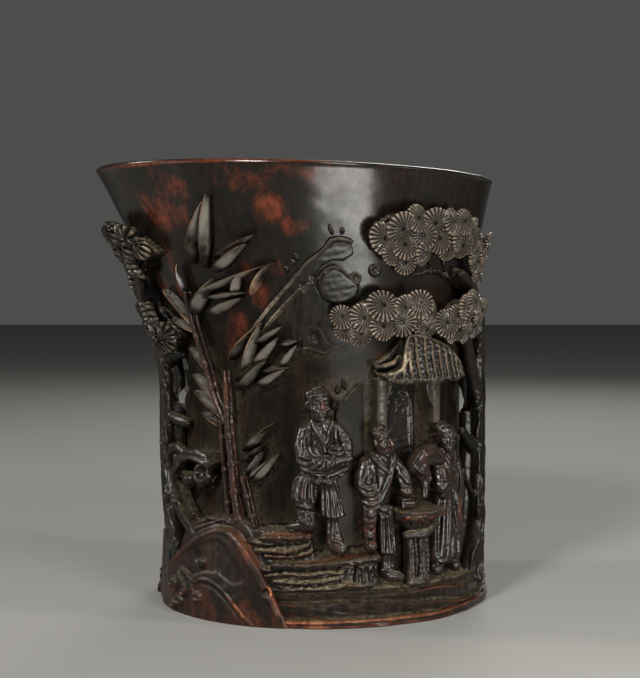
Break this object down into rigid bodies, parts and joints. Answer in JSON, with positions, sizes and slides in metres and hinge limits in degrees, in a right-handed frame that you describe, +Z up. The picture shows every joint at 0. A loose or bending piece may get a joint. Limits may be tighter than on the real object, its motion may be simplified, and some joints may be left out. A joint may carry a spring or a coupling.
{
  "type": "brush pot",
  "caption": "Flared carved wood brush pot with an inset floor and a deep relief of figures, pines, bamboo, rocks and a tiled pavilion.",
  "frame": {"origin": "middle of the foot, on the surface that the pot stands on", "axes": "+Z up; the front of the relief, with the figures, faces -Y; +X is to the viewer's right; the flare leans towards -X, so the rim's middle lies 11 mm off the foot's"},
  "size_m": [0.1573, 0.156, 0.1672],
  "materials": {
    "dark_wood": "dark waxed patina",
    "worn_wood": "red-brown wood rubbed bare of its patina",
    "dusty_wood": "dark wood with settled dust",
    "plug_wood": "plain dark wood"
  },
  "bodies": {
    "root": {"bamboo_leaves_back_low": "dark_wood", "bamboo_leaves_back_top": "dark_wood", "bamboo_leaves_high": "dark_wood", "bamboo_leaves_left": "dark_wood", "bamboo_leaves_low_left": "dark_wood", "bamboo_leaves_low_right": "dark_wood", "bamboo_leaves_mid_left": "dark_wood", "bamboo_leaves_mid_right": "dark_wood", "bamboo_leaves_spike": "dark_wood", "bamboo_leaves_top": "dark_wood", "bamboo_stalk_back": "worn_wood", "bamboo_stalk_fork": "worn_wood", "bamboo_stalk_front": "worn_wood", "bamboo_stalk_rear": "worn_wood", "bamboo_stalk_upper": "worn_wood", "boulder_left": "worn_wood", "cliff_back": "dark_wood", "distant_hill": "dark_wood", "figure_attendant": "dark_wood", "figure_elder": "dark_wood", "figure_scholar": "dark_wood", "floor_disc": "plug_wood", "fungus_left": "dark_wood", "ground_ring": "dusty_wood", "hut_door": "dark_wood", "hut_post_left": "dark_wood", "hut_post_right": "dark_wood", "hut_roof": "dark_wood", "ledge_middle": "dusty_wood", "ledge_upper": "dusty_wood", "mountain_ridge": "dark_wood", "pine_canopy_back_low": "dark_wood", "pine_canopy_back_middle": "dark_wood", "pine_canopy_back_top": "dark_wood", "pine_canopy_left_edge": "dark_wood", "pine_canopy_left_low": "dark_wood", "pine_canopy_left_top": "dark_wood", "pine_canopy_right_edge": "dark_wood", "pine_canopy_right_low": "dark_wood", "pine_canopy_right_middle": "dark_wood", "pine_canopy_right_top": "dark_wood", "pine_root_left": "dark_wood", "pine_trunk_back": "dark_wood", "pine_trunk_left": "dark_wood", "pine_trunk_right": "dark_wood", "pot_wall": "dark_wood", "rock_back": "dark_wood", "rock_face": "dark_wood", "table_drum": "dark_wood", "table_foot": "dark_wood", "table_top": "dark_wood"}
  },
  "joints": []
}
